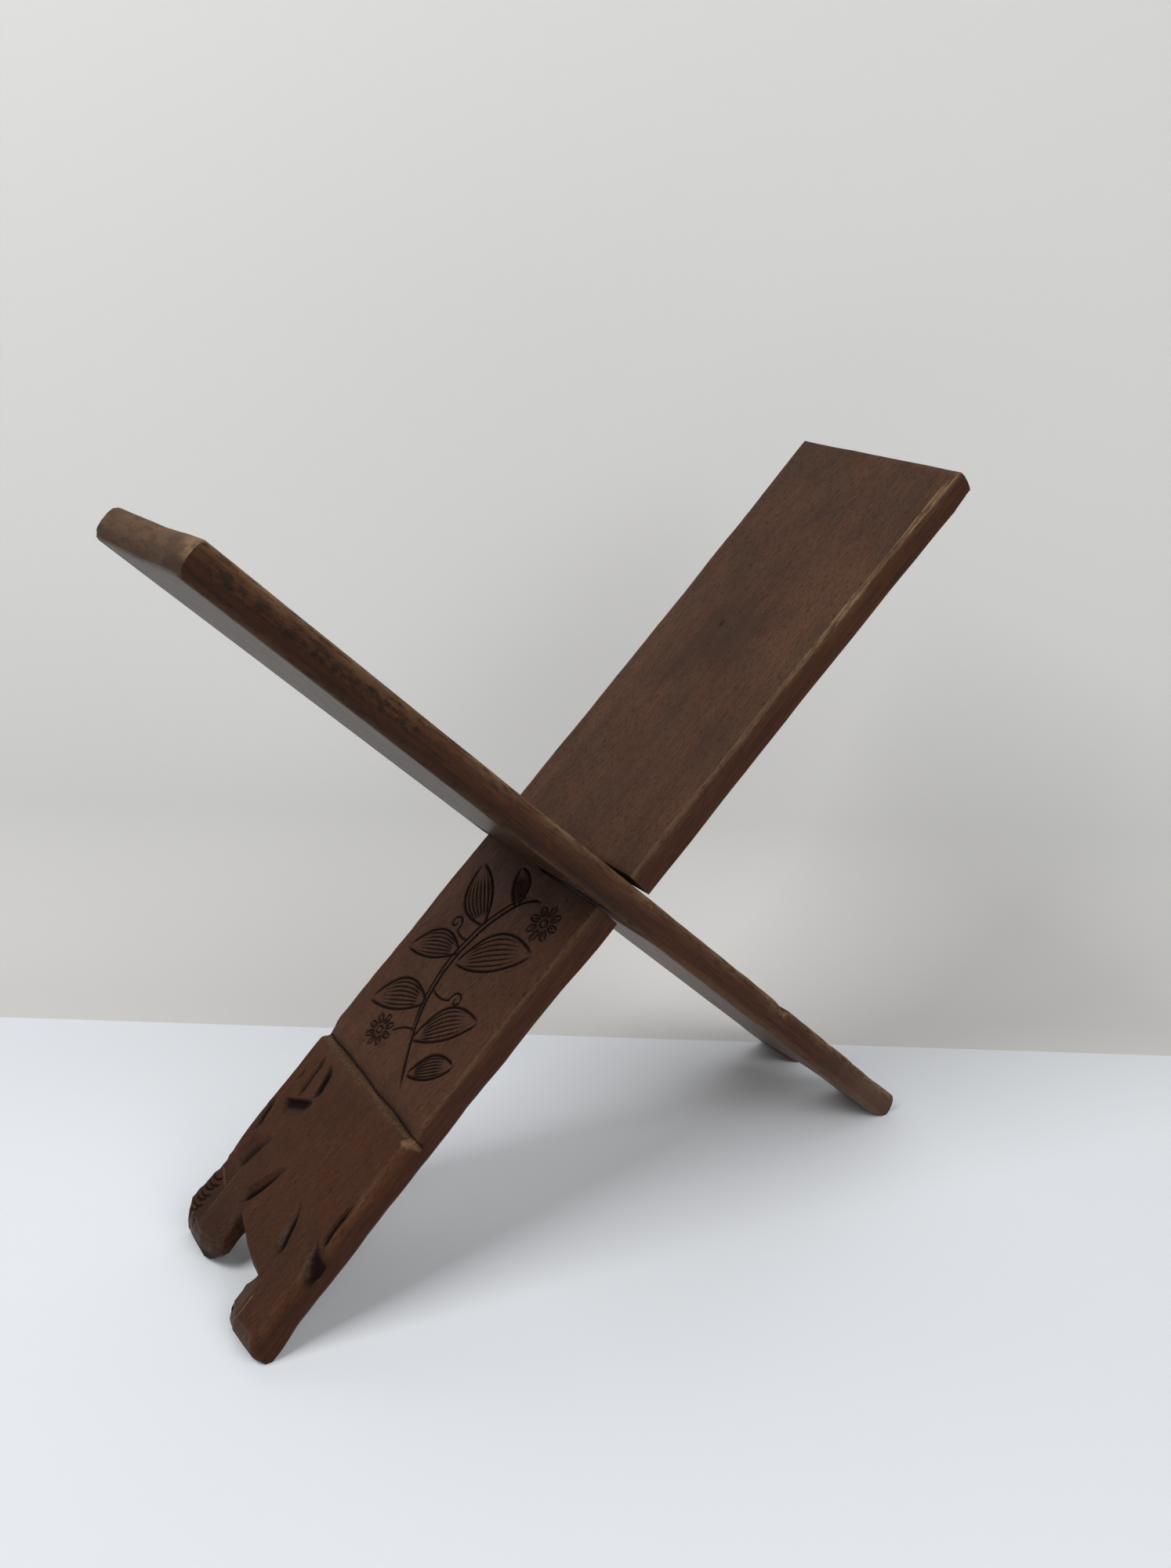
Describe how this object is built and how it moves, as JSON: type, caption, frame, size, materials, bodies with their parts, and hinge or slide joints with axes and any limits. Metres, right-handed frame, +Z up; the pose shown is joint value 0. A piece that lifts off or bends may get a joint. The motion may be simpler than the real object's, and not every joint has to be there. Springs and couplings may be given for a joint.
{
  "type": "carved cross-lap book stand",
  "caption": "Two carved hardwood boards that cross in an X and interlock by slots cut to half their width, forming a V-shaped cradle on split feet.",
  "frame": {"origin": "on the ground, under the middle of the part's box", "axes": "+Z up, +X along the spread of the legs towards the near-slotted board's upper end, -Y towards the viewer"},
  "size_m": [0.469, 0.138, 0.4384],
  "materials": {
    "dark_hardwood": "dark brown stained and waxed hardwood, satin, worn lighter along the edges"
  },
  "bodies": {
    "near_slotted_board": {"near_slotted_board": "dark_hardwood"},
    "far_slotted_board": {"far_slotted_board": "dark_hardwood"}
  },
  "joints": [
    {"name": "boards_part", "type": "slide", "parent": "near_slotted_board", "child": "far_slotted_board", "axis": [0, -1, 0], "range_m": [0, 0.14]}
  ]
}
